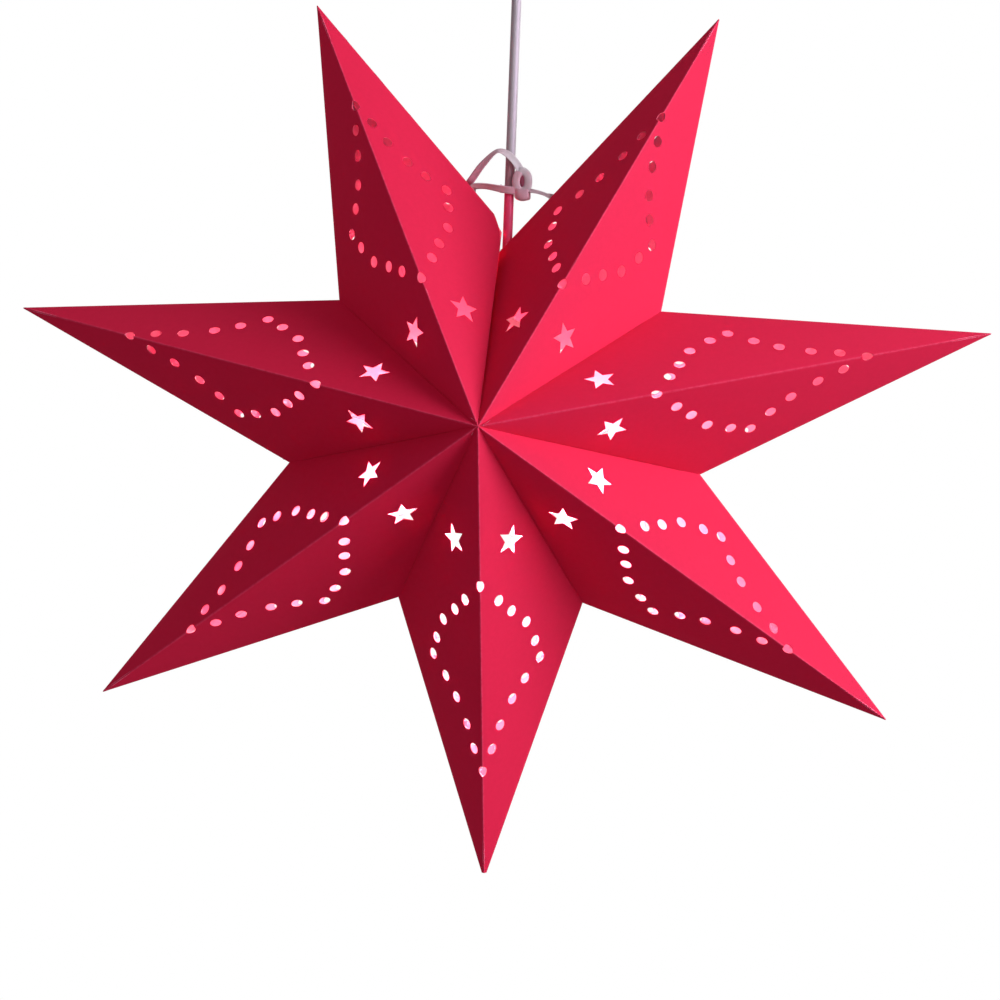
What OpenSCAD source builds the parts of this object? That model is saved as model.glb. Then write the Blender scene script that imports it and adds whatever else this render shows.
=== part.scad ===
// Paper star lantern: seven folded and punched cards glued into a hollow star, hung on a lamp cord
// from a ceiling fitting. The front of the star faces -Y. The origin is the centre of the ceiling
// face of the fitting, and the cord runs straight down the Z axis.

/* [Star outline] */
// Height of the star's centre below the ceiling
hang = 330; // [325:1:345]
// Distance from the star's centre to each tip
tip_reach = 300; // [260:1:320]
// Distance from the star's centre to each inner corner
corner_reach = 126.3; // [120:0.1:135]
// Sideways stretch of the star, where 1 is regular
spread = 1.105; // [1:0.005:1.15]

/* [Star depth] */
// Depth of the front half, from the outline to the front apex
front_depth = 110; // [90:1:130]
// Depth of the rear half, from the outline to the rear apex
rear_depth = 105; // [90:1:130]
// Sideways lean of the rear apex
rear_shift_x = -20; // [-30:1:30]
// Upward lean of the rear apex
rear_shift_z = -10; // [-30:1:30]

/* [Card] */
// Thickness of the card
card = 0.4; // [0.3:0.05:0.6]
// Width of the glue flaps along the valleys
flap_w = 10; // [7:0.5:12]
// Distance that each flap stops short of the apex
flap_apex_gap = 25; // [20:1:35]
// Distance that each flap stops short of the corner
flap_corner_gap = 14; // [12:1:20]
// Width of the glued lap along each rear fold
lap_w = 12; // [8:0.5:16]

/* [Seam] */
// Slip of each end card along the seam, one down and one up
seam_slip = 6; // [0:0.5:8]
// Gap between the cord and the seam's plane
seam_gap = 0.6; // [0.5:0.1:2]
// Gap between the cord and the outline fold in front of it
crease_gap = 1.6; // [1.6:0.1:3]
// Clearance round the cord where it passes through the end cards
cord_pass = 1.2; // [0.8:0.1:1.6]

/* [Punched pattern] */
// Diameter of the round holes
dot_d = 7.3; // [5:0.1:8.5]
// Reach of the star-shaped holes, centre to tip
cut_star_r = 9.6; // [7:0.1:11]
// Waist of the star-shaped holes, centre to inner corner
cut_star_waist = 3.9; // [3:0.1:4.5]

/* [Cord and ribbon] */
// Diameter of the lamp cord
cord_d = 6.4; // [6:0.1:7]
// Width of the ribbon
ribbon_w = 5; // [4:0.5:6]
// Thickness of the ribbon
ribbon_t = 0.4; // [0.3:0.1:0.6]
// Outer radius of the ribbon's knot
knot_r = 5; // [4.5:0.1:5.5]
// Gap at which the ribbon lies on the cord and the card
ribbon_gap = 0.2; // [0.1:0.05:0.3]

/* [Lamp holder] */
// Height of the holder's top above the star's centre
holder_rise = 80; // [76:1:82]
// Outer radius of the holder
holder_r = 15; // [14.5:0.1:16]
// Wall of the cap and the sleeve
holder_wall = 2; // [1.5:0.1:2.3]
// Radius of the cap's neck
cap_neck_r = 7; // [6.5:0.1:8]
// Height of the cap's neck
cap_neck_h = 8; // [6:0.5:9]
// Height of the cap
cap_h = 24; // [22:1:26]
// Length of the spigot that goes up into the cap
spigot_h = 6; // [4:0.5:8]
// Clearance between the pieces of the holder
holder_gap = 0.2; // [0.1:0.05:0.3]
// Height of the contact insert
insert_h = 26; // [24:1:28]
// Depth of the socket in the insert
socket_h = 20; // [18:1:22]
// Height of the ledge that carries the insert
ledge_h = 2; // [1:0.5:3]
// Width of the ledge that carries the insert
ledge_w = 2; // [1.5:0.1:2.2]
// Length of the sleeve below the ledge
lip_h = 2; // [1:0.5:3]

/* [Bulb] */
// Radius of the glass ball
ball_r = 22.5; // [20:0.5:24]
// Radius of the screw cap
screw_r = 6.9; // [6.8:0.1:7]
// Height of the screw cap with its contact
screw_h = 24; // [23:0.5:25]
// Radius of the contact
contact_r = 2.5; // [2:0.1:3]
// Height of the cone between the contact and the screw cap
contact_h = 4; // [3:0.5:5]
// Radius of the glass where it meets the screw cap
neck_r = 7.6; // [7.2:0.1:8]
// Overall length of the bulb
bulb_h = 75; // [72:1:80]

/* [Ceiling fitting] */
// Outer radius of the cover
cover_r = 40; // [38:0.5:45]
// Height of the cover
cover_h = 30; // [26:1:32]
// Wall of the cover
cover_wall = 2; // [1.5:0.1:3]
// Radius of the cover's lower edge
cover_round = 8; // [5:0.5:10]
// Thickness of the base disc
base_t = 4; // [3:0.5:5]
// Distance between the two fixing holes
fixing_pitch = 50.8; // [45:0.1:54]
// Diameter of the fixing holes
fixing_d = 4.5; // [4:0.1:5.5]
// Radius of the cord grip
grip_r = 8; // [7:0.5:10]
// Height of the cord grip below the base disc
grip_h = 16; // [12:1:18]
// Clearance between the cord and the holes that it passes
cord_gap = 0.2; // [0.1:0.05:0.4]
// Clearance between the base disc and the cover
cover_gap = 0.2; // [0.1:0.05:0.3]

/* [Hidden] */
// Degrees by which each point leans from its even place round the star
lean = [1.2, 1.3, 1.5, 0.8, 0.1, -0.6, -2.9];
points = len(lean);
// Holes of one face as shares: along the fold to the tip, and along the valley to the corner
dot_places = [[0.299, 0.170], [0.277, 0.290], [0.249, 0.432], [0.260, 0.517], [0.279, 0.566],
    [0.381, 0.416], [0.473, 0.290], [0.575, 0.172], [0.658, 0.093]];
fold_dots = [0.333, 0.744];
star_place = [0.127, 0.285];
// The corner trimmed off the last point beside the cord, from its seam corner
corner_trim = [[-8, 7], [-6, 6], [-3.6, -1.5], [-2.8, -9.5], [-2.4, -19], [8, -19], [8, 12], [-8, 12]];
// The cord from inside its grip to inside the holder
cord_route = [[0, 0, -8], [0, 0, -20], [0, 0, -34], [0, 0, -48], [0, 0, -62], [0, 0, -76], [0, 0, -90],
    [0, 0, -104], [0, 0, -118], [0, 0, -132], [0, 0, -146], [0, 0, -160], [0, 0, -174], [0, 0, -188],
    [0, 0, -202], [0, 0, -216], [0, 0, -230], [0, 0, -246], [0, 0, -261]];
cord_sides = 12;
// Free ribbon points: x, y, z and the turn of the tape about its own length, 0 with its face to the front
ribbon_arch = [[-21, -3, -158, 35], [-14.5, -4, -150, 45], [-8.5, -4.5, -146, 35],
    [-2.5, -4.6, -148.5, 15], [3, -4.3, -155, 8], [6.5, -3.5, -162, 0]];
ribbon_low = [[-16, -3, -169.5, 35], [-6, -4.2, -171.5, 15], [1, -4.2, -172.5, 0], [6.5, -3.6, -172, 0]];
ribbon_back = [[8, -0.5, -168.5, 0], [6, 3, -169, 45], [2.5, 4.6, -169.5, 0], [-2.5, 4.6, -171, 0],
    [-5.6, 1, -171.5, 60], [-6, -4, -171.5, 20]];
ribbon_right = [[11, -3, -172.5, 10], [16, -3.5, -173.5, 40], [21.5, -2.5, -174.5, 30]];
// The glued ends: along the side fold, back from it, and lift off the card
arch_end = [[38, 16, 0], [38, 10, 0.5], [38, 3, 2.5]];
low_end = [[33, 18, 0], [33, 11, 0.5], [33, 4, 2.5]];
right_end = [[46, 3, 2.5], [46, 10, 0.5], [46, 16, 0]];
ribbon_steps = 3;
knot_angle = -14;
knot_z = -166;
knot_drop = 9;
smooth = 64;
hole_smooth = 24;
over = 1;
punch = 3;
oversize = 30;
red = [0.78, 0.05, 0.14];
white = [0.93, 0.93, 0.92];

function unit(v) = v / norm(v);
function flat(v, n) = unit(v - (v * n) * n);

cord_r = cord_d / 2;
star_centre = [-cord_r - seam_gap, -cord_r - crease_gap, -hang];
front_apex = star_centre + [0, -front_depth, 0];
rear_apex = star_centre + [rear_shift_x, rear_depth, rear_shift_z];
axis_middle = front_apex + (rear_apex - front_apex) * front_depth / (front_depth + rear_depth);
seam_corner = star_centre + [0, 0, corner_reach];
seam_dir = unit(seam_corner - axis_middle);

function on_outline(reach, a) = star_centre + [spread * reach * cos(a), 0, reach * sin(a)];
function tip_angle(i) = 90 - (i + 0.5) * 360 / points + lean[i];
function corner_angle(i) = (tip_angle(i - 1) + tip_angle(i)) / 2;
function tip(i) = on_outline(tip_reach, tip_angle(i));
function corner(i) = i == 0 ? seam_corner - seam_dir * seam_slip
    : i == points ? seam_corner + seam_dir * seam_slip
    : on_outline(corner_reach, corner_angle(i));

// Turns and moves its children so that X runs from o to a, and Y in the plane towards b
module on_plane(o, a, b) {
    x = unit(a - o);
    y = flat(b - o, x);
    z = cross(x, y);
    multmatrix([[x.x, y.x, z.x, o.x], [x.y, y.y, z.y, o.y], [x.z, y.z, z.z, o.z], [0, 0, 0, 1]])
        children();
}

// The closed space of one point, between its tip, its two corners and the star's axis
module point_space(i) {
    polyhedron(points = [front_apex, rear_apex, tip(i), corner(i), corner(i + 1)],
        faces = [[0, 2, 4], [0, 3, 2], [1, 4, 2], [1, 2, 3], [0, 4, 1], [0, 1, 3]]);
}

// A card wall on the face of apex, tip and corner
module wall(apex, tip, corner) {
    on_plane(apex, tip, corner)
        translate([-oversize, -oversize, -card])
            cube([norm(tip - apex) + 2 * oversize, corner_reach + 2 * oversize, 2 * card]);
}

// A strip along the line from a to b, flat in the plane of c, with slanted ends
module strip(a, b, c, start, stop, width, thick) {
    on_plane(a, b, c)
        translate([0, 0, -thick])
            linear_extrude(2 * thick)
                polygon([[start, -over], [start, 0], [start + width, width],
                    [norm(b - a) - stop - width, width], [norm(b - a) - stop, 0],
                    [norm(b - a) - stop, -over]]);
}

// The glue flap of one valley, in the plane of the star's axis
module flap(apex, corner, other_apex) {
    strip(apex, corner, other_apex, flap_apex_gap, flap_corner_gap, flap_w, card);
}

module five_star() {
    polygon([for (k = [0:9]) let (r = k % 2 == 0 ? cut_star_r : cut_star_waist)
        r * [cos(180 + 36 * k), sin(180 + 36 * k)]]);
}

// The holes of one face, seen in its plane
module punches(apex, tip, corner) {
    along = tip - apex;
    x = unit(along);
    valley = corner - apex;
    reach = [valley * x, norm(valley - (valley * x) * x)];
    on_plane(apex, tip, corner) {
        for (p = dot_places)
            translate([p[0] * norm(along) + p[1] * reach.x, p[1] * reach.y, -punch])
                cylinder(d = dot_d, h = 2 * punch, $fn = hole_smooth);
        translate([star_place[0] * norm(along) + star_place[1] * reach.x, star_place[1] * reach.y, -punch])
            linear_extrude(2 * punch) five_star();
    }
}

// The holes that straddle the fold from apex to tip, each a circle on the flat sheet
module fold_punches(apex, tip, left, right) {
    x = unit(tip - apex);
    across = flat(right - apex, x) - flat(left - apex, x);
    on_plane(apex, tip, apex + across)
        for (a = fold_dots)
            translate([a * norm(tip - apex), 0, -dot_d])
                linear_extrude(2 * dot_d)
                    polygon([for (k = [0:hole_smooth - 1]) let (turn = (k + 0.5) * 360 / hole_smooth)
                        dot_d / 2 * [cos(turn), norm(across) / 2 * sin(turn)]]);
}

// One point: a single sheet folded along its four edges, with its flaps and its punched holes
module folded_card(i) {
    difference() {
        intersection() {
            point_space(i);
            union() {
                for (apex = [front_apex, rear_apex], c = [corner(i), corner(i + 1)])
                    wall(apex, tip(i), c);
                for (c = [corner(i), corner(i + 1)]) {
                    flap(front_apex, c, rear_apex);
                    flap(rear_apex, c, front_apex);
                }
                strip(rear_apex, tip(i), corner(i), flap_apex_gap, flap_apex_gap, lap_w, 2 * card);
            }
        }
        for (apex = [front_apex, rear_apex]) {
            for (c = [corner(i), corner(i + 1)])
                punches(apex, tip(i), c);
            fold_punches(apex, tip(i), corner(i), corner(i + 1));
        }
    }
}

// The way of the cord down into the star, past the seam's corner
module cord_way() {
    translate([0, 0, seam_corner.z - 3 * cord_d])
        cylinder(r = cord_r + cord_pass, h = 6 * cord_d, $fn = hole_smooth);
}

module trimmed_corner() {
    translate(corner(points) + [0, front_depth / 4, 0])
        rotate([90, 0, 0])
            linear_extrude(front_depth / 2) polygon(corner_trim);
}

// One of the seven points, with the cord's way cut into the two end cards
module point(i) {
    color(red)
        difference() {
            folded_card(i);
            if (i == 0 || i == points - 1) cord_way();
            if (i == points - 1) trimmed_corner();
        }
}

// A closed body through rings of points that run counter-clockwise round the way of travel
module sweep(rings) {
    n = len(rings[0]);
    last = len(rings) - 1;
    polyhedron(points = [for (ring = rings) each ring],
        faces = [[for (k = [0:n - 1]) k], [for (k = [n - 1:-1:0]) last * n + k],
            for (j = [0:last - 1], k = [0:n - 1]) let (a = j * n + k, b = j * n + (k + 1) % n)
                each [[a, a + n, b + n], [a, b + n, b]]]);
}

function spline(a, b, c, d, t) = b + t / 2 * ((c - a) + t * ((2 * a - 5 * b + 4 * c - d)
    + t * (3 * b - a - 3 * c + d)));
function curve(p, steps) = let (n = len(p) - 1) [for (i = [0:n - 1], k = [0:steps - 1])
    spline(p[max(i - 1, 0)], p[i], p[i + 1], p[min(i + 2, n)], k / steps), p[n]];
function place(p) = [p.x, p.y, p.z];
function heading(p, i) = unit(place(p[min(i + 1, len(p) - 1)]) - place(p[max(i - 1, 0)]));

// A flat tape along points that hold x, y, z and the turn about its own length
module tape(control) {
    p = curve(control, ribbon_steps);
    sweep([for (i = [0:len(p) - 1]) let (t = heading(p, i), front = unit(cross(t, [0, 1, 0])),
        w = flat(cos(p[i][3]) * front + [0, sin(p[i][3]), 0], t) * ribbon_w / 2,
        v = cross(t, unit(w)) * ribbon_t / 2)
        [place(p[i]) + w - v, place(p[i]) + w + v, place(p[i]) - w + v, place(p[i]) - w - v]]);
}

// A glued ribbon end on the rear of point i, beside corner c. Each of its rows gives how far the ribbon
// lies along the side fold, how far back from that fold, and how far it has lifted off the card
function ribbon_end(i, c, rows) = let (e = unit(tip(i) - corner(c)), g = flat(rear_apex - corner(c), e),
    n = cross(e, g) * (c > i ? -1 : 1))
    [for (r = rows) let (q = corner(c) + r[0] * e + r[1] * g + (ribbon_gap + ribbon_t / 2 + r[2]) * n)
        [q.x, q.y, q.z, 0]];

// The ribbon: two runs from the last point, one from the first, a turn behind the cord and the knot
module ribbon_tie() {
    color([0.9, 0.84, 0.88]) {
        tape(concat(ribbon_end(points - 1, points, arch_end), ribbon_arch));
        tape(concat(ribbon_end(points - 1, points, low_end), ribbon_low));
        tape(ribbon_back);
        tape(concat(ribbon_right, ribbon_end(0, 0, right_end)));
        knot_out = cord_r + ribbon_gap + knot_r;
        translate([knot_out * cos(knot_angle), knot_out * sin(knot_angle), knot_z]) {
            rotate([90, 0, 0])
                rotate_extrude($fn = hole_smooth) translate([knot_r * 0.6, 0]) circle(r = knot_r * 0.4);
            translate([0, 0, -knot_drop]) sphere(r = knot_r * 0.9, $fn = hole_smooth);
        }
    }
}

module cord() {
    color(white)
        sweep([for (i = [0:len(cord_route) - 1]) let (t = heading(cord_route, i), u = flat([1, 0, 0], t))
            [for (k = [0:cord_sides - 1]) let (a = 360 * k / cord_sides)
                cord_route[i] + cord_r * (cos(a) * u + sin(a) * cross(t, u))]]);
}

// A profile of radius and height, turned about the cord's line
module turned(profile) {
    rotate_extrude($fn = smooth) polygon(profile);
}

holder_top = star_centre.z + holder_rise;
cap_low = holder_top - cap_h;
cap_in_r = holder_r - holder_wall;
cap_bore_r = cord_r + cord_gap;
shoulder_z = holder_top - cap_neck_h;
spigot_r = cap_in_r - holder_gap;
sleeve_in_r = spigot_r - holder_wall;
insert_r = sleeve_in_r - holder_gap;
insert_top = cap_low + spigot_h + holder_wall;
insert_low = insert_top - insert_h;
sleeve_low = insert_low - ledge_h - lip_h;
socket_top = insert_low + socket_h;
socket_r = screw_r + holder_gap;

module holder_cap() {
    dome = holder_r - cap_neck_r;
    color(white)
        turned([[cap_bore_r, holder_top], [cap_neck_r, holder_top],
            for (a = [90:-15:0]) [cap_neck_r + dome * cos(a), shoulder_z - dome * (1 - sin(a))],
            [holder_r, cap_low], [cap_in_r, cap_low], [cap_in_r, insert_top + holder_gap],
            [cap_bore_r, insert_top + holder_gap]]);
}

module holder_body() {
    color(white)
        turned([[sleeve_in_r, cap_low + spigot_h], [spigot_r, cap_low + spigot_h], [spigot_r, cap_low],
            [holder_r, cap_low], [holder_r, sleeve_low], [sleeve_in_r, sleeve_low],
            [sleeve_in_r, insert_low - ledge_h], [sleeve_in_r - ledge_w, insert_low - ledge_h],
            [sleeve_in_r - ledge_w, insert_low], [sleeve_in_r, insert_low]]);
}

module holder_insert() {
    color([0.85, 0.83, 0.78])
        turned([[0, insert_top], [insert_r, insert_top], [insert_r, insert_low], [socket_r, insert_low],
            [socket_r, socket_top], [0, socket_top]]);
}

// The round lamp with its screw cap, in one sealed piece: the glass cone leaves the ball at a tangent
module bulb() {
    ball_z = socket_top - bulb_h + ball_r;
    neck = [neck_r, socket_top - screw_h - ball_z];
    leave = atan2(neck.y, neck.x) - acos(ball_r / norm(neck));
    color([0.95, 0.94, 0.9])
        turned([[0, socket_top], [contact_r, socket_top], [screw_r, socket_top - contact_h],
            [screw_r, socket_top - screw_h], [neck_r, socket_top - screw_h],
            for (k = [0:12]) let (a = leave - (leave + 90) * k / 12)
                [k == 12 ? 0 : ball_r * cos(a), ball_z + ball_r * sin(a)]]);
}

// The disc that is screwed to the ceiling, with the grip that holds the cord
module rose_base() {
    color(white)
        difference() {
            union() {
                translate([0, 0, -base_t])
                    cylinder(r = cover_r - cover_wall - cover_gap, h = base_t, $fn = smooth);
                translate([0, 0, -base_t - grip_h]) cylinder(r = grip_r, h = grip_h + over, $fn = smooth);
            }
            for (side = [-1, 1])
                translate([side * fixing_pitch / 2, 0, -base_t - over])
                    cylinder(d = fixing_d, h = base_t + 2 * over, $fn = smooth);
            translate([0, 0, -base_t - grip_h - over])
                cylinder(r = cord_r + cord_gap, h = grip_h + over, $fn = smooth);
        }
}

module rose_cover() {
    in_round = cover_round - cover_wall;
    color(white)
        turned([[cover_r, 0],
            for (a = [0:-15:-90]) [cover_r + cover_round * (cos(a) - 1), cover_round * (1 + sin(a)) - cover_h],
            [cord_r + cord_gap, -cover_h], [cord_r + cord_gap, cover_wall - cover_h],
            for (a = [-90:15:0])
                [cover_r - cover_round + in_round * cos(a), cover_round + in_round * sin(a) - cover_h],
            [cover_r - cover_wall, 0]]);
}

point(0);  // point_1
point(1);  // point_2
point(2);  // point_3
point(3);  // point_4
point(4);  // point_5
point(5);  // point_6
point(6);  // point_7
ribbon_tie();
cord();
holder_cap();
holder_body();
holder_insert();
bulb();
rose_base();
rose_cover();
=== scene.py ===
import math
import bmesh
import bpy
from mathutils import Matrix, Vector


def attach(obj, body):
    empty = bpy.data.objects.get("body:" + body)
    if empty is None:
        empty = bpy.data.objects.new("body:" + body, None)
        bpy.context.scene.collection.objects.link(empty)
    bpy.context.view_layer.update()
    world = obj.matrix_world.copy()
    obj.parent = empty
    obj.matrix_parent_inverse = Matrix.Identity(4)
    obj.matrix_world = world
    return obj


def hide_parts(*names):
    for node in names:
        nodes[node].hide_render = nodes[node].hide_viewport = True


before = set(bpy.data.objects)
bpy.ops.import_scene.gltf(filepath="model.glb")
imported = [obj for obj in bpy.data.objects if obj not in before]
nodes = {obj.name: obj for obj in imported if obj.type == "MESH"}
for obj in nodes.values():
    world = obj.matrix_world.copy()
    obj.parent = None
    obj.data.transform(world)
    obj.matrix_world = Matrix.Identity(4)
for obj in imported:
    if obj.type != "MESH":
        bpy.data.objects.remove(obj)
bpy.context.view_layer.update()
mm = 0.001
print("frame loaded:", len(nodes), "nodes")


# sRGB hex to the linear colour that the shaders take
def linearColour(hexText):
    parts = [int(hexText[i:i + 2], 16) / 255 for i in (1, 3, 5)]
    return tuple(p / 12.92 if p <= 0.04045 else ((p + 0.055) / 1.055) ** 2.4 for p in parts) + (1.0,)


# Adds a node: its settings by name, and its inputs by name or number, as values or as the sockets that feed them
def addNode(material, kind, inputs=None, **settings):
    node = material.node_tree.nodes.new(kind)
    for name, value in settings.items():
        setattr(node, name, value)
    for name, value in (inputs or {}).items():
        if isinstance(value, bpy.types.NodeSocket):
            material.node_tree.links.new(value, node.inputs[name])
        else:
            node.inputs[name].default_value = value
    return node


# Noise in the object's own space
def addNoise(material, scale, detail, roughness=0.5):
    place = addNode(material, "ShaderNodeTexCoord")
    noise = addNode(material, "ShaderNodeTexNoise", {
        "Vector": place.outputs["Object"], "Scale": scale, "Detail": detail, "Roughness": roughness})
    return noise.outputs["Fac"]


# The height in the object's own space
def addHeight(material):
    place = addNode(material, "ShaderNodeTexCoord")
    return addNode(material, "ShaderNodeSeparateXYZ", {"Vector": place.outputs["Object"]}).outputs["Z"]


def mixColours(material, factor, low, high):
    mixed = addNode(material, "ShaderNodeMix", {"Factor": factor, "A": low, "B": high}, data_type="RGBA")
    return mixed.outputs["Result"]


# Maps a value from one span to another
def mapRange(material, value, span=(0, 1), results=(0, 1)):
    mapped = addNode(material, "ShaderNodeMapRange", {
        "Value": value, "From Min": span[0], "From Max": span[1], "To Min": results[0], "To Max": results[1]})
    return mapped.outputs["Result"]


def newMaterial(name):
    material = bpy.data.materials.new(name)
    material.use_nodes = True
    material.node_tree.nodes.clear()
    return material


def finishMaterial(material, shaderSocket):
    addNode(material, "ShaderNodeOutputMaterial", {"Surface": shaderSocket})
    return material


def newPiece(name, bm, materials, nodeNames):
    mesh = bpy.data.meshes.new(name)
    bm.to_mesh(mesh)
    bm.free()
    piece = bpy.data.objects.new(name, mesh)
    bpy.context.scene.collection.objects.link(piece)
    return dressPiece(piece, materials, nodeNames)


def dressPiece(piece, materials, nodeNames):
    for material in materials:
        piece.data.materials.append(material)
    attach(piece, "root")
    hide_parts(*nodeNames)
    return piece


# Camera: the photo's view, slightly to the right of the star's axis and level with its centre
camera = {
    "position": (0.1143, -1.3209, -0.3429),
    "right": (0.99559, 0.08594, 0.03769),
    "up": (-0.03976, 0.02243, 0.99896),
    "back": (0.08501, -0.99605, 0.02575),
    "lens": 72, "sensor": 36,      # millimetres
}
cameraData = bpy.data.cameras.new("photoCamera")
cameraData.lens = camera["lens"]
cameraData.sensor_width = camera["sensor"]
cameraObject = bpy.data.objects.new("photoCamera", cameraData)
cameraObject.matrix_world = Matrix([
    [camera["right"][k], camera["up"][k], camera["back"][k], camera["position"][k]] for k in range(3)
] + [[0, 0, 0, 1]])
bpy.context.scene.collection.objects.link(cameraObject)
bpy.context.scene.camera = cameraObject
print("camera placed")

# Lamp cord: a smooth PVC sheath, straight down from the ceiling fitting into the lamp holder
cord = {
    "route": [-0.008, -0.020, -0.034, -0.048, -0.062, -0.076, -0.090, -0.104, -0.118, -0.132,
              -0.146, -0.160, -0.174, -0.188, -0.202, -0.216, -0.230, -0.246, -0.261],
    "diameter": 0.0064,
    "pale": "#b9b0bb",
    "mauve": "#b98492",
    "red": "#fa467a",
    "mauveTurn": (-0.1500, -0.1545),    # heights over which the pale sheath turns mauve behind the ribbon: painted shade and red bounce light
    "redTurn": (-0.1700, -0.1750),      # and red below it: painted red light from the cards, in the shade of their corners
}
# PVC sheath: extruded, so it is even and half glossy. Its grey-lilac is painted shade on a white sheath, and the
# mauve and red stretches lower down are painted shade and painted red light from the cards
cordMaterial = newMaterial("pvcCordSheath")
height = addHeight(cordMaterial)
sheathColourAndPaintedLight = linearColour(cord["pale"])
for turnName, colourName in (("mauveTurn", "mauve"), ("redTurn", "red")):
    turned = mapRange(cordMaterial, height, cord[turnName])
    sheathColourAndPaintedLight = mixColours(cordMaterial, turned, sheathColourAndPaintedLight, linearColour(cord[colourName]))
cordShader = addNode(cordMaterial, "ShaderNodeBsdfPrincipled", {
    "Base Color": sheathColourAndPaintedLight, "Roughness": 0.55, "Specular IOR Level": 0.15})
finishMaterial(cordMaterial, cordShader.outputs["BSDF"])

cordCurve = bpy.data.curves.new("lampCord", "CURVE")
cordCurve.dimensions = "3D"
cordCurve.bevel_depth = cord["diameter"] / 2
cordCurve.bevel_resolution = 6
cordCurve.use_fill_caps = True
spline = cordCurve.splines.new("POLY")
spline.points.add(len(cord["route"]) - 1)
for point, z in zip(spline.points, cord["route"]):
    point.co = (0, 0, z, 1)
cordObject = bpy.data.objects.new("lampCord", cordCurve)
bpy.context.scene.collection.objects.link(cordObject)
dressPiece(cordObject, [cordMaterial], ["cord"])
print("cord made")

# Star cards: each point is one sheet, folded along two ridges and two side folds. Sizes in millimetres
card = {
    "hang": 330, "tipReach": 300, "cornerReach": 126.3, "spread": 1.105,
    "frontDepth": 110, "rearDepth": 105, "rearShift": (-20, -10),
    "seamSlips": (-9.6, 8.7),   # how far the first and the last card's corner lie off the seam's corner
    "seamGap": 0.6, "creaseGap": 1.6,
    "cordPass": 0.4, "passTurn": 22,    # room round the cord, cut as a prism with a side every so many degrees
    "passReach": 30,       # how far from the seam's corner that room is cut
    "lean": [1.2, 1.3, 1.5, 0.8, 0.1, -0.6, -2.9],
    "tipCuts": [0, 0, 0, 5.4, 0, 0, 1.2],
    "thickness": 0.4,
    "flapWidth": 9.5, "flapApexGap": 25, "seamApexGap": 4, "flapCornerGap": 14, "trimGap": 0.5,
    "flapOff": 20,         # flaps count as this far from a fold, so they get no paler crease colour, which is partly wear and partly painted highlight
    "lapWidth": 12, "lapDrop": 1.05,    # the lap lies this many thicknesses under its face
    "dotPlaces": [(0.299, 0.170), (0.277, 0.290), (0.249, 0.432), (0.260, 0.517), (0.279, 0.566),
                  (0.381, 0.416), (0.473, 0.290), (0.575, 0.172), (0.658, 0.093)],
    "foldDots": (0.333, 0.744), "dotDiameter": 7.3, "dotSides": 24,
    "starPlace": (0.127, 0.285), "starReach": 10.4, "starWaist": 4.6, "starPoints": 5,
    # The last card's corner is cut off beside the cord: millimetres back along the side fold and the valley
    "frontTrim": [(9, 0), (7.1, 1.8), (4.7, 4.4), (2.7, 6.8), (1.2, 11), (0.6, 15.7), (0, 18)],
    "rearTrim": [(9, 0), (2.8, 5.6), (0, 6.2)],
    "foldRound": 0.4,      # how far each crease is rounded off to its sides
    "creaseAngle": 25, "sharpAngle": 18,    # degrees from which an edge is a crease, and from which it looks sharp
    "gridStep": 14,        # spacing of the cuts that let a face bow
    "valleyCuts": (1.5, 3.5, 6, 9, 13),
    "valleySink": 0.9, "valleyReach": 14,
    "bow": 0.7,            # how far the middle of a face stands off its plane
}
# How near counts as touching in each step of the folding, in millimetres
near = {"weld": 0.01, "faceCut": 0.03, "tipCut": 0.01, "cordCut": 0.02, "line": 0.05, "apex": 0.1, "sliver": 0.005}
cordRadius = cord["diameter"] / 2 / mm
starCentre = Vector((-cordRadius - card["seamGap"], -cordRadius - card["creaseGap"], -card["hang"]))
frontApex = starCentre + Vector((0, -card["frontDepth"], 0))
rearApex = starCentre + Vector((card["rearShift"][0], card["rearDepth"], card["rearShift"][1]))
axisMiddle = frontApex.lerp(rearApex, card["frontDepth"] / (card["frontDepth"] + card["rearDepth"]))
seamCorner = starCentre + Vector((0, 0, card["cornerReach"]))
seamWay = (seamCorner - axisMiddle).normalized()
pointCount = len(card["lean"])
flapMark = 4    # material index that flap faces get on top of their face's number, while the card is folded


def onOutline(reach, degrees):
    angle = math.radians(degrees)
    return starCentre + Vector((card["spread"] * reach * math.cos(angle), 0, reach * math.sin(angle)))


def tipAngle(index):
    return 90 - (index + 0.5) * 360 / pointCount + card["lean"][index % pointCount]


def tipPlace(index):
    return onOutline(card["tipReach"], tipAngle(index))


def cornerPlace(index):
    if index in (0, pointCount):
        return seamCorner + seamWay * card["seamSlips"][index // pointCount]
    return onOutline(card["cornerReach"], (tipAngle(index - 1) + tipAngle(index)) / 2)


# Distance from a flat point to the line through two others
def lineDistance(spot, start, end):
    way = end - start
    return abs(way.x * (spot.y - start.y) - way.y * (spot.x - start.x)) / way.length


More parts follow.
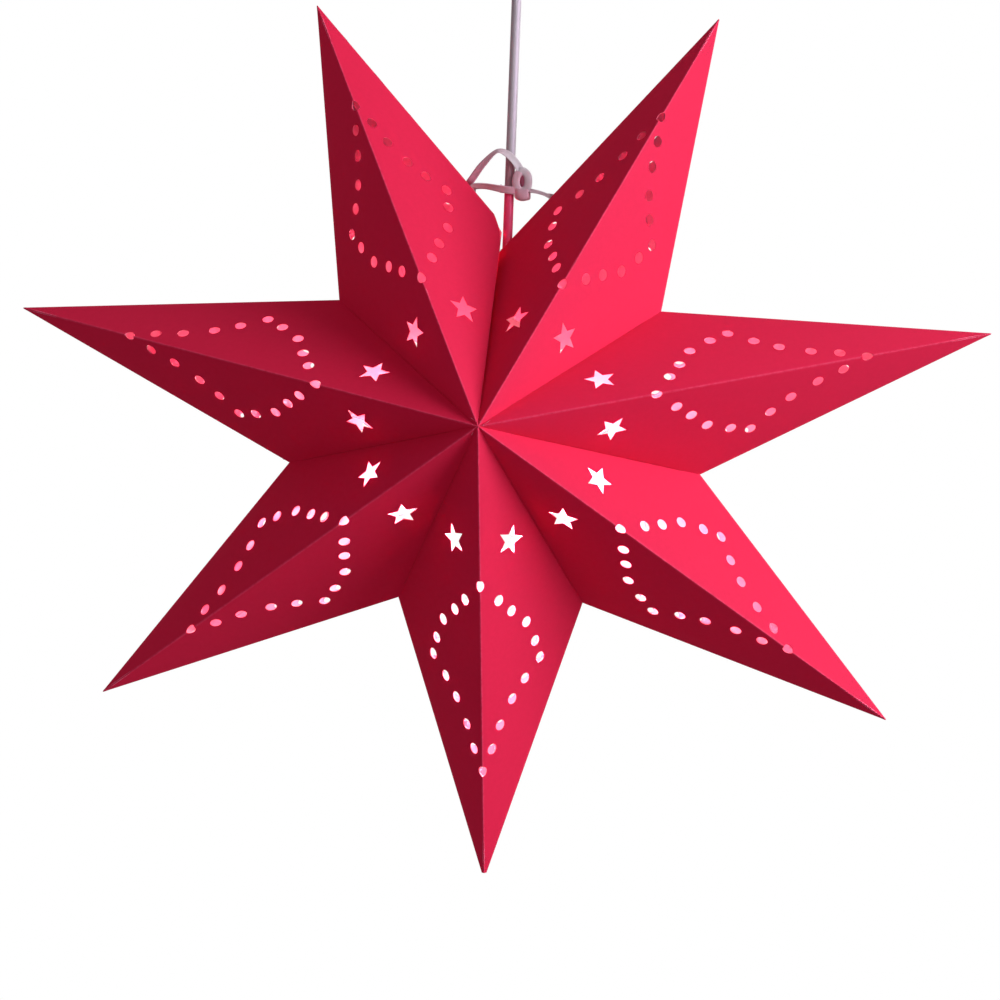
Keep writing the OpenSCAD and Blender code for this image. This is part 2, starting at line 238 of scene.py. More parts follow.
# The flat plan of one face between its apex, tip and corner: x runs along the ridge, y across to the valley
def facePlan(apex, otherApex, tip, corner, trim=((0, 0),), apexGap=card["flapApexGap"]):
    ridge, valley = tip - apex, corner - apex
    xWay, valleyWay = ridge.normalized(), valley.normalized()
    yWay = (valley - valley.dot(xWay) * xWay).normalized()
    inWay = otherApex - apex
    outWay = xWay.cross(yWay)
    isTurned = outWay.dot(apex - axisMiddle) < 0
    cornerGap = trim[-1][1] + card["trimGap"] if len(trim) > 1 else card["flapCornerGap"]
    return {"apex": apex, "xWay": xWay, "yWay": yWay, "outWay": -outWay if isTurned else outWay,
            "isTurned": isTurned, "valleyWay": valleyWay,
            "inWay": (inWay - inWay.dot(valleyWay) * valleyWay).normalized(),
            "tip": Vector((ridge.length, 0, 0)), "corner": Vector((valley.dot(xWay), valley.dot(yWay), 0)),
            "trim": trim, "flap": (apexGap, valley.length - cornerGap)}


def inSpace(plan, spot):
    return plan["apex"] + plan["xWay"] * spot.x + plan["yWay"] * spot.y


def inPlan(plan, place):
    off = place - plan["apex"]
    return Vector((off.dot(plan["xWay"]), off.dot(plan["yWay"]), 0))


# Lays one face into its place as flat card with its holes cut, and marks it with its number
def layFace(bm, plan, number):
    tip, corner = plan["tip"], plan["corner"]
    radius, sides = card["dotDiameter"] / 2, card["dotSides"]
    outline = [Vector((0, 0, 0))]
    for share in card["foldDots"]:
        for k in range(sides // 2 + 1):
            angle = math.pi - 2 * math.pi * k / sides
            outline.append(Vector((share * tip.x + radius * math.cos(angle),
                                   radius * math.sin(angle) if 0 < k < sides // 2 else 0, 0)))
    outline.append(tip)
    sideWay, valleyWay = (tip - corner).normalized(), corner.normalized()
    outline += [corner + sideWay * a - valleyWay * b for a, b in plan["trim"]]
    outline += [valleyWay * plan["flap"][1], valleyWay * plan["flap"][0]]
    verts = [bm.verts.new(spot) for spot in outline]
    for ends in zip(verts, verts[1:] + verts[:1]):
        bm.edges.new(ends)
    for along, across in card["dotPlaces"]:
        verts += bmesh.ops.create_circle(bm, segments=sides, radius=radius,
                                         matrix=Matrix.Translation(tip * along + corner * across))["verts"]
    star = bmesh.ops.create_circle(bm, segments=2 * card["starPoints"], radius=card["starReach"])["verts"]
    bmesh.ops.scale(bm, vec=Vector((1, 1, 1)) * card["starWaist"] / card["starReach"], verts=star[1::2])
    bmesh.ops.translate(bm, vec=tip * card["starPlace"][0] + corner * card["starPlace"][1], verts=star)
    verts += star
    edges = list(dict.fromkeys(edge for vert in verts for edge in vert.link_edges))
    filled = bmesh.ops.triangle_fill(bm, use_beauty=True, edges=edges, normal=(0, 0, 1))["geom"]
    faces = [part for part in filled if isinstance(part, bmesh.types.BMFace)]
    bmesh.ops.reverse_faces(bm, faces=[face for face in faces if (face.normal.z < 0) != plan["isTurned"]])
    for face in faces:
        face.material_index = number
    for vert in verts:
        vert.co = inSpace(plan, vert.co)


# Faces with their edges and corners, in an order that is the same at each run
def withParts(faces):
    return faces + list(dict.fromkeys([edge for face in faces for edge in face.edges]
                                      + [vert for face in faces for vert in face.verts]))


# Cuts one face along a straight line of its plan
def cutFace(bm, plan, number, spot, way, **settings):
    faces = [face for face in bm.faces if face.material_index == number]
    bmesh.ops.bisect_plane(bm, geom=withParts(faces), dist=near["faceCut"], plane_co=inSpace(plan, spot),
                           plane_no=(plan["xWay"] * way.x + plan["yWay"] * way.y).normalized(), **settings)


def cutGrid(bm, plan, number):
    tip, corner = plan["tip"], plan["corner"]
    for way, length in ((Vector((1, 0, 0)), tip.x), (Vector((0, 1, 0)), corner.y)):
        cuts = int(length / card["gridStep"])
        for k in range(1, cuts):
            cutFace(bm, plan, number, way * length * k / cuts, way)
    offValley = Vector((corner.y, -corner.x, 0)).normalized()
    for far in card["valleyCuts"]:
        cutFace(bm, plan, number, offValley * far, offValley)


# How far a face sinks beside its glued valley, fading out towards its ridge and its side fold
def valleySink(plan, spot):
    fromSide = lineDistance(spot, plan["tip"], plan["corner"])
    fromValley = lineDistance(spot, Vector((0, 0, 0)), plan["corner"])
    fade = min(1, max(spot.y, 0) / card["valleyReach"]) * min(1, fromSide / card["valleyReach"])
    return plan["inWay"] * card["valleySink"] * fade * max(0, 1 - fromValley / card["valleyReach"]) ** 2


# How far a face bows out. Each share is a third in its middle, so 27 times their product is 1 there
def crown(plan, spot):
    zero, tip, corner = Vector((0, 0, 0)), plan["tip"], plan["corner"]
    shares = (spot.y / corner.y, lineDistance(spot, tip, corner) / lineDistance(zero, tip, corner),
              lineDistance(spot, zero, corner) / lineDistance(tip, zero, corner))
    return plan["outWay"] * 27 * shares[0] * shares[1] * shares[2] * card["bow"]


# Maps each face's distances from its ridge and its side fold, in millimetres, and bows the face
def shapeFaces(bm, plans, lift=0):
    foldMap = bm.loops.layers.uv.new("foldMap")
    moves = {}
    for face in bm.faces:
        plan = plans[face.material_index % flapMark]
        for loop in face.loops:
            if face.material_index >= flapMark:
                far = (loop.vert.co - plan["apex"]).dot(plan["valleyWay"])
                loop[foldMap].uv = (card["flapOff"], card["flapOff"])
                moves.setdefault(loop.vert, valleySink(plan, plan["corner"].normalized() * far))
                continue
            spot = inPlan(plan, loop.vert.co)
            loop[foldMap].uv = (spot.y, lineDistance(spot, plan["tip"], plan["corner"]))
            moves[loop.vert] = crown(plan, spot) + valleySink(plan, spot) + plan["outWay"] * lift
    for vert, move in moves.items():
        vert.co += move


# Glue flap, folded in along the valley of a face
def foldFlap(bm, plan, number):
    apex, way, (low, high) = plan["apex"], plan["valleyWay"], plan["flap"]
    edges = []
    for edge in bm.edges:
        if len(edge.link_faces) == 1 and edge.link_faces[0].material_index == number:
            fars = [(vert.co - apex).dot(way) for vert in edge.verts]
            offs = [(vert.co - apex - far * way).length for vert, far in zip(edge.verts, fars)]
            if max(offs) < near["line"] and min(fars) > low - near["line"] and max(fars) < high + near["line"]:
                edges.append(edge)
    grown = bmesh.ops.extrude_edge_only(bm, edges=edges)["geom"]
    for vert in [part for part in grown if isinstance(part, bmesh.types.BMVert)]:
        far = (vert.co - apex).dot(way)
        slant = min(max(far, low + card["flapWidth"] / 2), high - card["flapWidth"] / 2) - far
        vert.co += plan["inWay"] * card["flapWidth"] + way * slant
    for part in grown:
        if isinstance(part, bmesh.types.BMFace):
            part.material_index = number + flapMark


def seamFaces(bm):
    return [face for face in bm.faces if (face.calc_center_median() - seamCorner).length < card["passReach"]]


# Removes what stands inside an upright prism round the cord, near the seam's corner
def clearCordWay(bm):
    radius = cordRadius + card["cordPass"]
    sides = [Vector((math.cos(math.radians(a)), math.sin(math.radians(a)), 0))
             for a in range(0, 360, card["passTurn"])]
    for side in sides:
        bmesh.ops.bisect_plane(bm, geom=withParts(seamFaces(bm)), dist=near["cordCut"],
                               plane_co=side * radius, plane_no=side)
    gone = [face for face in seamFaces(bm)
            if all(face.calc_center_median().dot(side) < radius for side in sides)]
    bmesh.ops.delete(bm, geom=gone, context="FACES")


def foldedCard(index):
    tip, left, right = tipPlace(index), cornerPlace(index), cornerPlace(index + 1)
    isLast = index == pointCount - 1
    sides = ((frontApex, rearApex, card["frontTrim"]), (rearApex, frontApex, card["rearTrim"]))
    plans = [facePlan(apex, otherApex, tip, left) for apex, otherApex, trim in sides]
    for apex, otherApex, trim in sides:
        plans.append(facePlan(apex, otherApex, tip, right, trim, card["seamApexGap"]) if isLast
                     else facePlan(apex, otherApex, tip, right))
    bm = bmesh.new()
    for number, plan in enumerate(plans):
        layFace(bm, plan, number)
    bmesh.ops.remove_doubles(bm, verts=bm.verts, dist=near["weld"])
    for number, plan in enumerate(plans):
        cutGrid(bm, plan, number)
    if card["tipCuts"][index]:
        way = (tip - axisMiddle).normalized()
        bmesh.ops.bisect_plane(bm, geom=bm.verts[:] + bm.edges[:] + bm.faces[:], dist=near["tipCut"],
                               clear_outer=True, plane_co=tip - way * card["tipCuts"][index], plane_no=way)
    if index in (0, pointCount - 1):
        clearCordWay(bm)
    for number, plan in enumerate(plans):
        foldFlap(bm, plan, number)
    shapeFaces(bm, plans)
    folds = [edge for edge in bm.edges if len(edge.link_faces) == 2
             and edge.calc_face_angle(0) > math.radians(card["creaseAngle"])
             and all((vert.co - apex).length > near["apex"]
                     for vert in edge.verts for apex in (frontApex, rearApex))]
    bmesh.ops.bevel(bm, geom=folds, offset=card["foldRound"], offset_type="OFFSET", segments=3,
                    profile=0.5, affect="EDGES", clamp_overlap=False, material=-1)
    # The lap that closes the sheet, glued under the rear face along its ridge
    lap, plan = bmesh.new(), plans[1]
    layFace(lap, plan, 0)
    cutGrid(lap, plan, 0)
    for x, y, way in ((0, card["lapWidth"], Vector((0, 1, 0))), (card["flapApexGap"], 0, Vector((-1, 1, 0))),
                      (plan["tip"].x - card["flapApexGap"], 0, Vector((1, 1, 0)))):
        cutFace(lap, plan, 0, Vector((x, y, 0)), way, clear_outer=True)
    shapeFaces(lap, [plan], -card["lapDrop"] * card["thickness"])
    scrap = bpy.data.meshes.new("scrap")
    lap.to_mesh(scrap)
    lap.free()
    bm.from_mesh(scrap)
    bpy.data.meshes.remove(scrap)
    for face in bm.faces:
        face.smooth = True
        face.material_index = 0
    bmesh.ops.dissolve_degenerate(bm, dist=near["sliver"], edges=bm.edges)
    bmesh.ops.scale(bm, vec=Vector((mm, mm, mm)), verts=bm.verts)
    return bm


paper = {
    "outer": "#db103f", "outerLight": "#e41446", "wearAndHighlight": "#f0527a",
    # The inside is a paler pink than the outside: painted light, standing in for light that shines through the thin
    # card into the star
    "inner": "#f58bb0", "innerLight": "#f79cbc",
    "cut": "#ee6d8c", "cutLight": "#f283a0",
    "mottle": 3.0,       # millimetres across a cloud of colour
    "grain": 1.1,        # real fibres are 0.1 mm; drawn as coarse as they need to show
    "wearAndHighlightWidth": 1.5,    # millimetres of lighter card on each side of a crease
}


# Dyed card: rolled and uncoated, so it is matt with a faint tooth and a soft sheen at grazing angles
def paperMaterial(name, low, high, sheen, isCreased):
    material = newMaterial(name)
    cloud = addNoise(material, 1000 / paper["mottle"], 3.0, 0.6)
    grain = addNoise(material, 1000 / paper["grain"], 2.0, 0.7)
    result = mixColours(material, cloud, linearColour(low), linearColour(high))
    # Paler card along each ridge and side fold, in patches: partly wear of the dye at the fold, partly a painted
    # highlight along the crease
    if isCreased:
        folds = addNode(material, "ShaderNodeUVMap", uv_map="foldMap")
        split = addNode(material, "ShaderNodeSeparateXYZ", {"Vector": folds.outputs["UV"]})
        nearest = addNode(material, "ShaderNodeMath", {0: split.outputs["X"], 1: split.outputs["Y"]},
                          operation="MINIMUM")
        wearAndHighlight = mapRange(material, nearest.outputs["Value"], (paper["wearAndHighlightWidth"], 0), (0, 0.5))
        patchy = mapRange(material, cloud, (0.35, 0.6), (0.4, 1))
        share = addNode(material, "ShaderNodeMath", {0: wearAndHighlight, 1: patchy}, operation="MULTIPLY")
        result = mixColours(material, share.outputs["Value"], result, linearColour(paper["wearAndHighlight"]))
    bump = addNode(material, "ShaderNodeBump", {"Height": grain, "Strength": 0.12, "Distance": 0.0003})
    shader = addNode(material, "ShaderNodeBsdfPrincipled", {
        "Base Color": result, "Roughness": 0.8, "Specular IOR Level": 0.07, "Sheen Weight": sheen,
        "Sheen Roughness": 0.6, "Sheen Tint": linearColour("#ffd8e6"), "Normal": bump.outputs["Normal"]})
    return finishMaterial(material, shader.outputs["BSDF"])


# The inside material's paler pink is painted light, standing in for light that comes through the thin card
cardMaterials = [paperMaterial("dyedCardOutside", paper["outer"], paper["outerLight"], 0.03, True),
                 paperMaterial("dyedCardInsideWithPaintedLight", paper["inner"], paper["innerLight"], 0.0, False),
                 paperMaterial("dyedCardCutEdge", paper["cut"], paper["cutLight"], 0.0, False)]

for index in range(pointCount):
    name = f"point_{index + 1}"
    sheet = newPiece(name + "_card", foldedCard(index), cardMaterials, [name])
    wall = sheet.modifiers.new("wall", "SOLIDIFY")
    wall.thickness = card["thickness"] * mm
    wall.offset = -1
    wall.use_quality_normals = True
    wall.material_offset, wall.material_offset_rim = 1, 2
    bpy.context.view_layer.update()
    sheet.data = bpy.data.meshes.new_from_object(sheet.evaluated_get(bpy.context.evaluated_depsgraph_get()))
    sheet.modifiers.clear()
    sheet.data.set_sharp_from_angle(angle=math.radians(card["sharpAngle"]))
    print(name, "folded,", len(sheet.data.polygons), "faces")

# Ribbon: a flat satin tape, from the rear of the last card over the cord and its knot to the first card.
# Millimetres: x, y, z and the turn of the tape about its own length in degrees
ribbon = {
    "width": 5, "thickness": 0.4, "gap": 0.2, "steps": 10,
    "across": (-1, -0.6, -0.2, 0.2, 0.6, 1), "cup": 0.35,     # shares of the half width, and how far the tape cups
    "arch": [(-25.7, -3, -167.6, 10), (-22.8, -3.6, -163.4, 12), (-19.3, -4.2, -158.3, 20),
             (-15.1, -4.5, -153.4, 35), (-11.6, -4.7, -149.8, 48), (-8.4, -4.9, -147.6, 52),
             (-5.4, -5.0, -147.6, 45), (-2.4, -5.1, -148.9, 28), (0.8, -5.0, -151.2, 20),
             (4.1, -4.7, -154.8, 20), (6.6, -4.2, -158.6, 15), (7.9, -3.8, -161.5, 10)],
    "low": [(-23.8, -3.4, -171.4, -45), (-20.5, -4.2, -170.5, -48), (-15.8, -4.6, -170.5, -50),
            (-11.1, -4.8, -171.1, -45), (-6.4, -4.8, -171.9, -35), (-1.8, -4.9, -172.6, -20), (2.2, -4.8, -173, 0),
            (5.4, -4.2, -172.9, 0)],
    "back": [(8, -0.5, -168.5, 0), (6, 3, -169, 45), (2.5, 4.6, -169.5, 0), (-2.5, 4.6, -171, 0),
             (-5.6, 1, -171.5, 60), (-6, -4, -171.5, 20)],
    "right": [(12.5, -2.6, -172.6, 50), (15, -3, -172.9, 56), (19, -3.4, -173.6, 60), (23, -3.8, -174.7, 62),
              (26, -3.9, -176.0, 60)],
    # Along the side fold, back from it, lift and turn
    "archEnd": [(35, 17, 0, 0), (35, 11, 0.5, 0), (35, 5, 2, 5)],
    "lowEnd": [(28, 19, 0, 0), (28, 13, 0.6, -10), (29, 7, 1.8, -30)],
    "rightEnd": [(50, 6, 1.6, 30), (50, 12, 0.5, 10), (50, 18, 0, 0)],
    "pale": "#e9e2ea", "shade": "#d6c7d2",
    "pink": "#e084a2",     # where the tape lies in the cards' red light
    "tints": {"arch": (1.3, -0.3), "low": (0, 0.7), "back": (0.7, 0.3), "right": (0.4, 0.2)},    # share of pink
}
# Woven polyester satin: long floats along the tape give it a soft sheen and fine lengthwise ribs
ribbonMaterial = newMaterial("wovenSatinRibbon")
weave = addNode(ribbonMaterial, "ShaderNodeUVMap", uv_map="tapeMap")
ribs = addNode(ribbonMaterial, "ShaderNodeTexWave", {
    "Vector": weave.outputs["UV"], "Scale": 0.62, "Distortion": 0.4, "Detail": 1.0},
    wave_type="BANDS", bands_direction="X")      # threads 0.5 mm apart, drawn coarser than the real 0.2 mm
tone = mixColours(ribbonMaterial, addNoise(ribbonMaterial, 180.0, 2.0),
                  linearColour(ribbon["shade"]), linearColour(ribbon["pale"]))
tints = addNode(ribbonMaterial, "ShaderNodeUVMap", uv_map="tintMap")
tint = addNode(ribbonMaterial, "ShaderNodeSeparateXYZ", {"Vector": tints.outputs["UV"]})
tinted = mixColours(ribbonMaterial, tint.outputs["X"], tone, linearColour(ribbon["pink"]))
bump = addNode(ribbonMaterial, "ShaderNodeBump", {
    "Height": ribs.outputs["Fac"], "Strength": 0.35, "Distance": 0.0001})
satin = addNode(ribbonMaterial, "ShaderNodeBsdfPrincipled", {
    "Base Color": tinted, "Roughness": 0.5, "Specular IOR Level": 0.12, "Sheen Weight": 0.1,
    "Sheen Roughness": 0.4, "Normal": bump.outputs["Normal"]})
finishMaterial(ribbonMaterial, satin.outputs["BSDF"])


def curvePoints(control, steps):
    points = [Vector(row) for row in control]
    last = len(points) - 1
    spots = []
    for i in range(last):
        a, b, c, d = points[max(i - 1, 0)], points[i], points[i + 1], points[min(i + 2, last)]
        for k in range(steps):
            t = k / steps
            spots.append(b + t / 2 * ((c - a) + t * ((2 * a - 5 * b + 4 * c - d) + t * (3 * b - a - 3 * c + d))))
    return spots + [points[last]]


# The glued end of the ribbon on the rear of a card, beside one of its corners
def ribbonEnd(index, cornerIndex, rows):
    corner = cornerPlace(cornerIndex)
    along = (tipPlace(index) - corner).normalized()
    back = rearApex - corner
    back = (back - back.dot(along) * along).normalized()
    out = along.cross(back) * (-1 if cornerIndex > index else 1)
    lift = ribbon["gap"] + ribbon["thickness"] / 2
    return [(*(corner + along * a + back * b + out * (lift + c)), turn) for a, b, c, turn in rows]


# Draws a ring of edges along the points, turns it with them and closes both of its ends.
# A turn of 0 lays its face towards the facing direction
def layAlong(bm, control, profile, tints, facing=(0, 1, 0)):
    facing = Vector(facing)
    spots = curvePoints(control, ribbon["steps"])
    tapeMap, tintMap = bm.loops.layers.uv["tapeMap"], bm.loops.layers.uv["tintMap"]
    places, travelled, old = {}, 0, set(bm.faces)
    for i, spot in enumerate(spots):
        before, after = spots[max(i - 1, 0)], spots[min(i + 1, len(spots) - 1)]
        ahead = (after - before).xyz.normalized()
        front = ahead.cross(facing).normalized()
        turn = math.radians(spot.w)
        across = math.cos(turn) * front + math.sin(turn) * facing
        across = (across - across.dot(ahead) * ahead).normalized()
        rise = ahead.cross(across)
        if i == 0:
            first = row = [bm.verts.new() for offset in profile]
            run = [bm.edges.new(ends) for ends in zip(row, row[1:] + row[:1])]
        else:
            travelled += (spot - spots[i - 1]).xyz.length
            grown = bmesh.ops.extrude_edge_only(bm, edges=run)["geom"]
            row = [next(edge.other_vert(vert) for edge in vert.link_edges if edge.other_vert(vert) in grown)
                   for vert in row]
            run = [edge for edge in grown if isinstance(edge, bmesh.types.BMEdge)
                   and all(vert in grown for vert in edge.verts)]
        for k, (vert, (sideways, up)) in enumerate(zip(row, profile)):
            vert.co = (spot.xyz + across * sideways + rise * up) * mm
            places[vert] = (sideways, travelled, tints[0] + (tints[1] - tints[0]) * i / (len(spots) - 1))
    for ring in (first, row):
        bm.faces.new(ring)
    laid = [face for face in bm.faces if face not in old]
    for face in laid:
        face.smooth = True
        for loop in face.loops:
            loop[tapeMap].uv = places[loop.vert][:2]
            loop[tintMap].uv = (places[loop.vert][2], 0)
    bmesh.ops.recalc_face_normals(bm, faces=laid)


half = ribbon["width"] / 2
flatProfile = [(half * share, side * ribbon["thickness"] / 2 + ribbon["cup"] * (share * share - 0.5))
               for side, row in ((1, ribbon["across"]), (-1, ribbon["across"][::-1])) for share in row]
last = pointCount - 1
ribbonMesh = bmesh.new()
ribbonMesh.loops.layers.uv.new("tapeMap")
ribbonMesh.loops.layers.uv.new("tintMap")
tapeRuns = {"arch": ribbonEnd(last, pointCount, ribbon["archEnd"]) + ribbon["arch"],
            "low": ribbonEnd(last, pointCount, ribbon["lowEnd"]) + ribbon["low"],
            "back": ribbon["back"],
            "right": ribbon["right"] + ribbonEnd(0, 0, ribbon["rightEnd"])}
for name, run in tapeRuns.items():
    layAlong(ribbonMesh, run, flatProfile, ribbon["tints"][name])

# The knot: the tape is bunched into a thick strand, once round a small eye and once round the stem
knot = {
    "centre": (8.15, -2.03, -166),
    "strandSides": 12,
    # Each strand: half width and half thickness, tint at its two ends, facing, and its run from the centre
    "strands": [
        ((2.6, 0.9), (0.0, 0.5), (0, 1, 0),
         [(-1.6, -2.2, 6.4, 0), (1.5, -2.2, 5.6, 0), (3.8, -1.9, 3.2, 0), (4.5, -1.6, -0.6, 0),
          (3.9, -1.5, -4.6, 0), (1.2, -1.4, -6.8, 0), (-1.8, -1.8, -6.2, 0), (-3.5, -2.6, -2.8, 0),
          (-3.3, -2.9, 1.6, 0), (-1.6, -2.6, 5.2, 0)]),
        ((2.6, 0.9), (1.0, 1.0), (0, 1, 0),
         [(-1.6, 1.2, 4.2, 0), (0.2, 1.0, 1.2, 0), (2.0, 1.0, -2.6, 0), (2.6, 0.6, -6.0, 0)]),
        ((3.7, 1.3), (0.6, 0.6), (0, 0, 1),
         [(-3.4, -0.6, -8.3, 82), (-2.6, -2.0, -8.8, 84), (-0.6, -2.9, -9.7, 88), (1.8, -2.9, -10, 90),
          (3.9, -2.0, -9.4, 94), (4.9, -0.2, -8.6, 98), (3.6, 1.6, -9.0, 94), (0.4, 2.1, -9.5, 90),
          (-2.4, 1.2, -8.9, 86), (-3.5, -0.2, -8.3, 82)]),
    ],
}
centre = Vector((*knot["centre"], 0))
for (halfWidth, halfThickness), tints, facing, run in knot["strands"]:
    angles = [2 * math.pi * k / knot["strandSides"] for k in range(knot["strandSides"])]
    knotProfile = [(halfWidth * math.cos(angle), halfThickness * math.sin(angle)) for angle in angles]
    layAlong(ribbonMesh, [Vector(row) + centre for row in run], knotProfile, tints, facing)
newPiece("ribbonTie", ribbonMesh, [ribbonMaterial], ["ribbon_tie"])
print("ribbon tied")


# Lamp holder and ceiling fitting: their shapes are right as packed, so they only get a finish
def plasticMaterial(name, hexText, roughness, grainSize, strength):
    material = newMaterial(name)
    grain = addNoise(material, 1000 / grainSize, 2.0)
    matt = mapRange(material, addNoise(material, 60.0, 2.0), results=(roughness - 0.06, roughness + 0.06))
    bump = addNode(material, "ShaderNodeBump", {"Height": grain, "Strength": strength, "Distance": 0.0002})
    shader = addNode(material, "ShaderNodeBsdfPrincipled", {
        "Base Color": linearColour(hexText), "Roughness": matt, "Specular IOR Level": 0.2,
        "Normal": bump.outputs["Normal"]})
    return finishMaterial(material, shader.outputs["BSDF"])


# Moulded ABS: nearly smooth, with the faint orange peel of a polished tool
absMaterial = plasticMaterial("mouldedAbs", "#e6e5e1", 0.34, 1.5, 0.05)
# Moulded Bakelite: heat-proof and duller than the holder round it
bakeliteMaterial = plasticMaterial("mouldedBakelite", "#cfc7b6", 0.55, 0.8, 0.1)
for name, material in (("holder_cap", absMaterial), ("holder_body", absMaterial), ("rose_base", absMaterial),
                       ("rose_cover", absMaterial), ("holder_insert", bakeliteMaterial)):
    nodes[name].data.materials.clear()
    nodes[name].data.materials.append(material)
print("holder and ceiling fitting finished")

# Bulb: a frosted glass ball on a rolled screw cap. Sizes in millimetres, heights above the ball's centre
bulb = {
    "ballCentre": -324.5, "ballRadius": 22.5, "neckRadius": 7.6, "capTop": 52.5, "capLow": 28.5,
    "capRadius": 6.75, "threadDepth": 0.55, "threadPitch": 3.6, "threadSteps": 6,
    "contactRadius": 2.5, "contactHeight": 4,
    "capMargin": 0.5,    # the cap's metal starts this far above its foot
    "glow": (4, 420),    # of the ball's shoulder and of its lower dome, as a lamp with its driver above has it
    "glowReach": (0.1, -0.8),     # shares of the radius over which it rises
    "spinSteps": 64, "ballSteps": 32,
}
# Frosted glass: etched inside, so it scatters the light evenly and shows no clear reflection
glassMaterial = newMaterial("frostedGlass")
frost = addNoise(glassMaterial, 2500.0, 1.0)
bump = addNode(glassMaterial, "ShaderNodeBump", {"Height": frost, "Strength": 0.06, "Distance": 0.0001})
glowSpan = [(bulb["ballCentre"] + share * bulb["ballRadius"]) * mm for share in bulb["glowReach"]]
glass = addNode(glassMaterial, "ShaderNodeBsdfPrincipled", {
    "Base Color": linearColour("#fbf6ee"), "Roughness": 0.3, "Specular IOR Level": 0.2,
    "Normal": bump.outputs["Normal"], "Emission Color": linearColour("#fff1e4"),
    "Emission Strength": mapRange(glassMaterial, addHeight(glassMaterial), glowSpan, bulb["glow"])})
finishMaterial(glassMaterial, glass.outputs["BSDF"])
# Nickel-plated brass: rolled thin over the neck, bright with fine wear round the threads
nickelMaterial = newMaterial("nickelPlatedBrass")
dull = mapRange(nickelMaterial, addNoise(nickelMaterial, 700.0, 3.0), results=(0.2, 0.42))
nickel = addNode(nickelMaterial, "ShaderNodeBsdfPrincipled", {
    "Base Color": linearColour("#cfccc4"), "Metallic": 1.0, "Roughness": dull})
finishMaterial(nickelMaterial, nickel.outputs["BSDF"])

# Outline of the bulb: the contact, the threads, and the neck that leaves the cap's foot to touch the ball
neckDrop = math.hypot(bulb["neckRadius"], bulb["capLow"])
leave = math.atan2(bulb["capLow"], bulb["neckRadius"]) - math.acos(bulb["ballRadius"] / neckDrop)
profile = [(0, bulb["capTop"]), (bulb["contactRadius"], bulb["capTop"]),
           (bulb["capRadius"], bulb["capTop"] - bulb["contactHeight"])]
turns = int((bulb["capTop"] - bulb["contactHeight"] - bulb["capLow"]) / bulb["threadPitch"])
for k in range(turns * bulb["threadSteps"]):
    low = bulb["capTop"] - bulb["contactHeight"] - k * bulb["threadPitch"] / bulb["threadSteps"]
    wave = 0.5 - 0.5 * math.cos(2 * math.pi * k / bulb["threadSteps"])
    profile.append((bulb["capRadius"] - bulb["threadDepth"] * wave, low))
profile.append((bulb["neckRadius"], bulb["capLow"]))
for k in range(bulb["ballSteps"]):
    angle = leave - (leave + math.pi / 2) * k / bulb["ballSteps"]
    profile.append((bulb["ballRadius"] * math.cos(angle), bulb["ballRadius"] * math.sin(angle)))
profile.append((0, -bulb["ballRadius"]))
bulbMesh = bmesh.new()
verts = [bulbMesh.verts.new((r * mm, 0, (z + bulb["ballCentre"]) * mm)) for r, z in profile]
edges = [bulbMesh.edges.new(ends) for ends in zip(verts, verts[1:])]
bmesh.ops.spin(bulbMesh, geom=verts + edges, cent=(0, 0, 0), axis=(0, 0, 1), angle=2 * math.pi,
               steps=bulb["spinSteps"], use_merge=True)
bmesh.ops.remove_doubles(bulbMesh, verts=bulbMesh.verts, dist=near["weld"] * mm)
bmesh.ops.recalc_face_normals(bulbMesh, faces=bulbMesh.faces)
capFoot = (bulb["ballCentre"] + bulb["capLow"] + bulb["capMargin"]) * mm
for face in bulbMesh.faces:
    face.smooth = True
    face.material_index = 1 if face.calc_center_median().z > capFoot else 0
newPiece("roundBulb", bulbMesh, [glassMaterial, nickelMaterial], ["bulb"])
print("bulb made")

# Studio: a pale floor far below, a white backdrop for the camera, one soft box from the right
studio = {
    "floorHeight": -3.5, "floorSize": 20, "floorColour": "#efeeec",
    "floorGlow": 0.85,               # share of plain white in the floor that the camera sees below the object
    "shadowReach": (0.3, 1.8),       # metres from below the object over which the floor's shading fades out
    "ambient": 0.3, "keyPower": 29.5, "keySize": 1.15, "keyDistance": 1.7, "keyWay": (0.882, -0.393, 0.259),
    "glossPower": 260, "glossColour": "#f3ceff",
}
world = bpy.data.worlds.new("studioWorld")
bpy.context.scene.world = world
world.use_nodes = True
world.node_tree.nodes.clear()
rays = addNode(world, "ShaderNodeLightPath")
seen = addNode(world, "ShaderNodeMath", {
    0: rays.outputs["Is Camera Ray"], 1: rays.outputs["Is Glossy Ray"]}, operation="MAXIMUM")
seenToo = addNode(world, "ShaderNodeMath", {
    0: seen.outputs["Value"], 1: rays.outputs["Is Transmission Ray"]}, operation="MAXIMUM")
strength = mapRange(world, seenToo.outputs["Value"], results=(studio["ambient"], 1))
sky = addNode(world, "ShaderNodeBackground", {"Color": linearColour("#ffffff"), "Strength": strength})
addNode(world, "ShaderNodeOutputWorld", {"Surface": sky.outputs["Background"]})

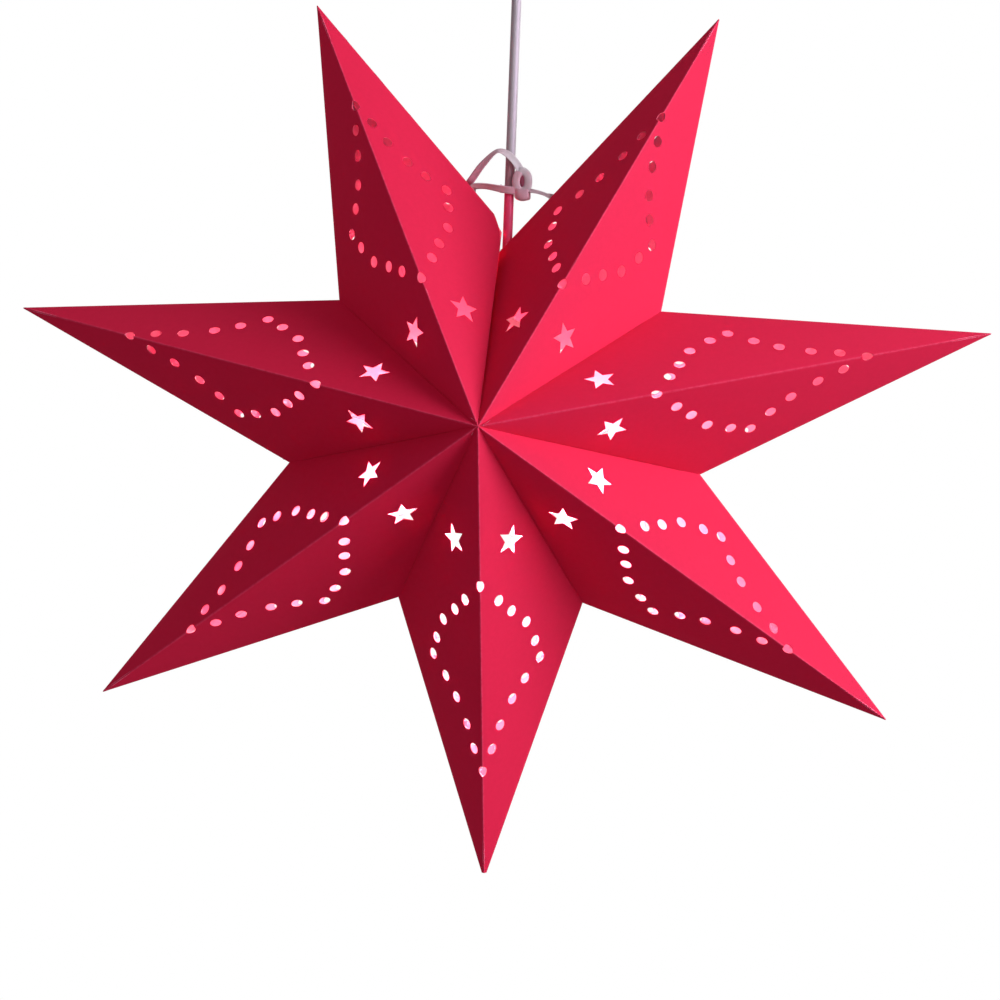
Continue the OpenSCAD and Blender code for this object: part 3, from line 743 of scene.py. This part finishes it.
# Seamless paper: matt white, seen as white with the object's shadow kept
floorMaterial = newMaterial("seamlessPaper")
rays = addNode(floorMaterial, "ShaderNodeLightPath")
matt = addNode(floorMaterial, "ShaderNodeBsdfDiffuse", {"Color": linearColour(studio["floorColour"])})
glow = addNode(floorMaterial, "ShaderNodeEmission", {"Color": linearColour("#ffffff"), "Strength": 1.0})
place = addNode(floorMaterial, "ShaderNodeTexCoord")
away = addNode(floorMaterial, "ShaderNodeVectorMath", {"Vector": place.outputs["Object"]}, operation="LENGTH")
shadowSpan = [reach - studio["floorHeight"] for reach in studio["shadowReach"]]
plain = mapRange(floorMaterial, away.outputs["Value"], shadowSpan, (studio["floorGlow"], 1))
share = addNode(floorMaterial, "ShaderNodeMath", {0: rays.outputs["Is Camera Ray"], 1: plain}, operation="MULTIPLY")
paperMix = addNode(floorMaterial, "ShaderNodeMixShader", {
    0: share.outputs["Value"], 1: matt.outputs["BSDF"], 2: glow.outputs["Emission"]})
finishMaterial(floorMaterial, paperMix.outputs["Shader"])
floorMesh = bmesh.new()
bmesh.ops.create_grid(floorMesh, x_segments=1, y_segments=1, size=studio["floorSize"],
                      matrix=Matrix.Translation((0, 0, studio["floorHeight"])))
floorData = bpy.data.meshes.new("studioFloor")
floorMesh.to_mesh(floorData)
floorMesh.free()
floorData.materials.append(floorMaterial)
floorObject = bpy.data.objects.new("studioFloor", floorData)
bpy.context.scene.collection.objects.link(floorObject)

# The same soft box twice: once as it lights the card, once as it shines on it
keyWay = Vector(studio["keyWay"]).normalized()
for name, power, colour in (("keyLamp", studio["keyPower"], "#ffffff"),
                            ("glossLamp", studio["glossPower"], studio["glossColour"])):
    lampData = bpy.data.lights.new(name, "AREA")
    lampData.shape, lampData.size, lampData.energy = "DISK", studio["keySize"], power
    lampData.color = linearColour(colour)[:3]
    lamp = bpy.data.objects.new(name, lampData)
    bpy.context.scene.collection.objects.link(lamp)
    lamp.location = starCentre * mm + keyWay * studio["keyDistance"]
    lamp.rotation_euler = keyWay.to_track_quat("Z", "Y").to_euler()
    lamp.visible_camera = lamp.visible_transmission = False
    lamp.visible_diffuse, lamp.visible_glossy = name == "keyLamp", name == "glossLamp"
bpy.context.scene.view_settings.view_transform = "Standard"
print("studio lit")
